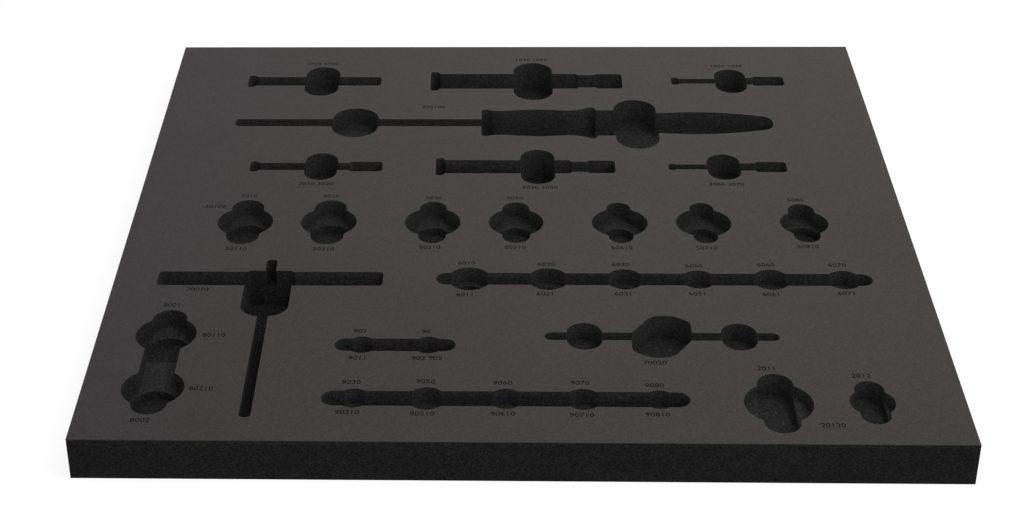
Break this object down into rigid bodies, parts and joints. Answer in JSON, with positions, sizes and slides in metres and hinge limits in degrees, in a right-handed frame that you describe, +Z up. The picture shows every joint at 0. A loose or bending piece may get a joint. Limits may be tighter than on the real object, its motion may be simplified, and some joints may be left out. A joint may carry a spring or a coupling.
{
  "type": "tool tray insert",
  "caption": "Flat foam drawer insert with milled pockets, stepped bores and finger recesses shaped for a driver and puller set.",
  "frame": {"origin": "centre of the flat underside", "axes": "+Z up out of the pockets, +X to the right and +Y to the back as the insert lies in its drawer"},
  "size_m": [0.564, 0.568, 0.03],
  "materials": {
    "core_foam": "matt black closed-cell foam",
    "facing_skin": "matt fine-textured dark grey-brown skin"
  },
  "bodies": {
    "root": {"foam_core": "core_foam", "top_facing": "facing_skin"}
  },
  "joints": []
}
